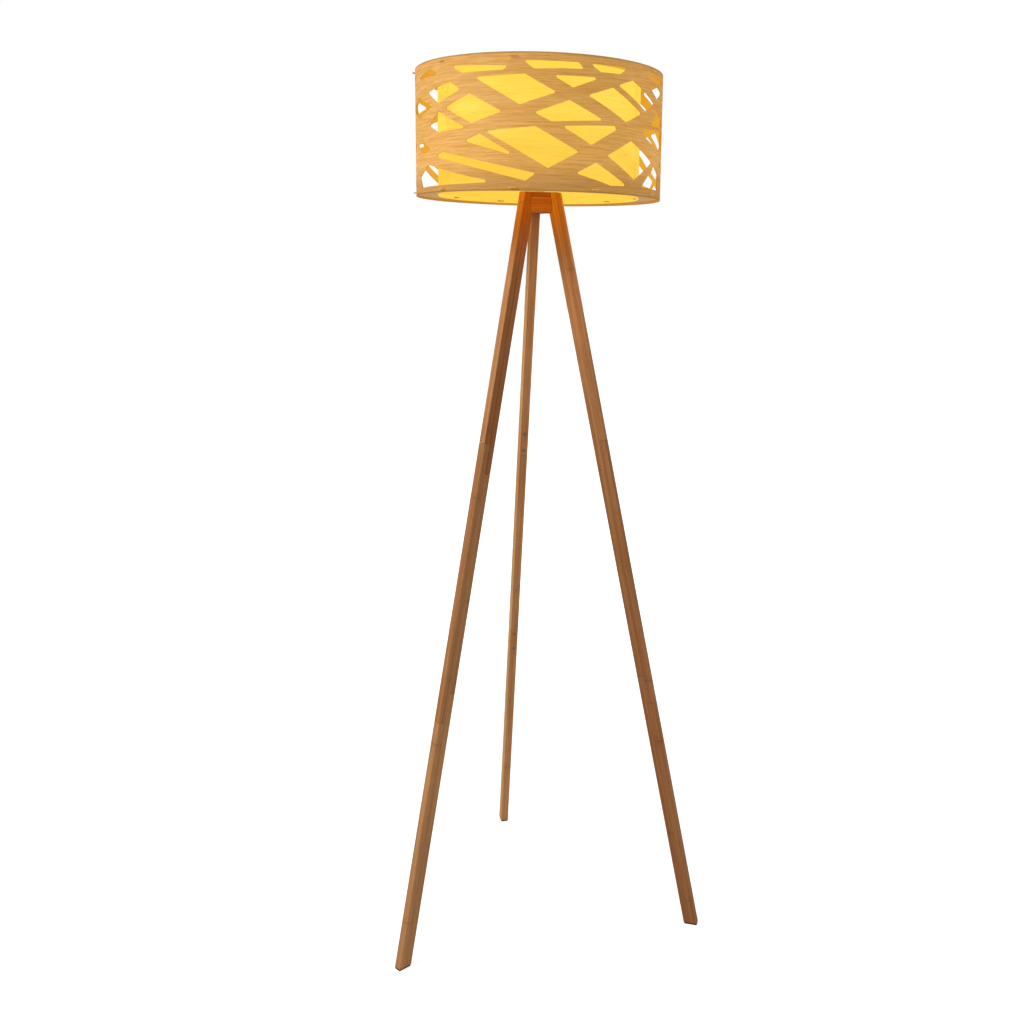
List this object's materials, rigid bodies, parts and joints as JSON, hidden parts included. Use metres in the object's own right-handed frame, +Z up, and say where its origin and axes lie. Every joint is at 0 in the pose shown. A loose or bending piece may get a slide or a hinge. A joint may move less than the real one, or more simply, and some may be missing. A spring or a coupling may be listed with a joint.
{
  "type": "tripod floor lamp",
  "caption": "Floor lamp on a splayed wooden tripod; a pierced outer veneer drum surrounds a glowing inner drum, carried by a harp over the bulb.",
  "frame": {"origin": "on the floor, under the lamp's vertical centre line, in the middle of the three feet", "axes": "+Z up the centre line to the finial; +Y towards the rear leg; the two front legs lie 30 degrees either side of -Y, towards -X and +X"},
  "size_m": [0.6058, 0.5714, 1.6472],
  "materials": {
    "bamboo": "oiled bamboo strip",
    "hub_wood": "oiled bamboo",
    "outer_veneer": "clear matt lacquer",
    "inner_veneer": "raw translucent veneer",
    "ring_wood": "raw",
    "seam_wood": "raw",
    "finial_wood": "oiled",
    "bolt_steel": "dull zinc plated",
    "insert_brass": "plain",
    "screw_steel": "zinc plated",
    "hub_steel": "zinc plated",
    "harp_steel": "nickel plated",
    "carrier_steel": "white powder coat",
    "holder_shell": "satin brass",
    "holder_core": "moulded",
    "contact_brass": "plain",
    "liner_paper": "pressed insulating board",
    "knob_plastic": "moulded",
    "pad_rubber": "matt",
    "bulb_glass": "frosted",
    "bulb_metal": "rolled",
    "bulb_black": "fused insulator",
    "stem_glass": "clear",
    "filament_metal": "glowing"
  },
  "bodies": {
    "stand": {"leg_front_left_top": "bamboo", "leg_front_left_middle": "bamboo", "leg_front_left_bottom": "bamboo", "leg_front_right_top": "bamboo", "leg_front_right_middle": "bamboo", "leg_front_right_bottom": "bamboo", "leg_rear_top": "bamboo", "leg_rear_middle": "bamboo", "leg_rear_bottom": "bamboo", "lap_bolts": "bolt_steel", "lap_inserts": "insert_brass", "hub_leg_screws": "screw_steel", "foot_pads": "pad_rubber", "hub_block": "hub_wood", "hub_plate": "hub_wood", "hub_plate_screws": "screw_steel", "hub_tube": "hub_steel", "hub_washer": "hub_steel", "hub_nut": "hub_steel", "harp_saddle": "harp_steel", "harp": "harp_steel", "socket_cap": "holder_shell", "socket_shell": "holder_shell", "socket_core": "holder_core", "socket_contact": "contact_brass", "socket_screw_shell": "contact_brass", "socket_liner": "liner_paper"},
    "shade": {"outer_drum": "outer_veneer", "inner_drum": "inner_veneer", "drum_ring_bottom": "ring_wood", "drum_ring_top": "ring_wood", "drum_seam_strips": "seam_wood", "shade_carrier": "carrier_steel"},
    "finial_core": {"finial_insert": "insert_brass"},
    "finial": {"finial_knob": "finial_wood"},
    "bulb_core": {"bulb_contact": "contact_brass"},
    "bulb": {"bulb_insulator": "bulb_black", "bulb_cap": "bulb_metal", "bulb_envelope": "bulb_glass", "bulb_stem": "stem_glass", "bulb_filament": "filament_metal"},
    "sleeve_right": {"harp_sleeve_right": "harp_steel"},
    "sleeve_left": {"harp_sleeve_left": "harp_steel"},
    "switch": {"switch_knob": "knob_plastic"}
  },
  "joints": [
    {"name": "shade_swivel", "type": "hinge", "parent": "stand", "child": "shade", "pos_m": [0, 0, 1.62], "axis": [0, 0, 1], "continuous": true},
    {"name": "finial_lift", "type": "slide", "parent": "stand", "child": "finial_core", "axis": [0, 0, 1], "range_m": [0, 0.0095]},
    {"name": "finial_turn", "type": "hinge", "parent": "finial_core", "child": "finial", "pos_m": [0, 0, 1.63], "axis": [0, 0, 1], "range_deg": [0, 3600]},
    {"name": "bulb_lift", "type": "slide", "parent": "stand", "child": "bulb_core", "axis": [0, 0, 1], "range_m": [0, 0.0182]},
    {"name": "bulb_turn", "type": "hinge", "parent": "bulb_core", "child": "bulb", "pos_m": [0, 0, 1.5], "axis": [0, 0, 1], "range_deg": [0, 1800]},
    {"name": "sleeve_right_lift", "type": "slide", "parent": "stand", "child": "sleeve_right", "axis": [0, 0, 1], "range_m": [0, 0.016]},
    {"name": "sleeve_left_lift", "type": "slide", "parent": "stand", "child": "sleeve_left", "axis": [0, 0, 1], "range_m": [0, 0.016]},
    {"name": "switch_turn", "type": "hinge", "parent": "stand", "child": "switch", "pos_m": [0, -0.02, 1.46735], "axis": [0, -1, 0], "continuous": true}
  ],
  "couplings": [
    {"joint": "finial_lift", "follows": "finial_turn", "m_per_rad": 0.00014972},
    {"joint": "bulb_lift", "follows": "bulb_turn", "m_per_rad": 0.00057751}
  ]
}
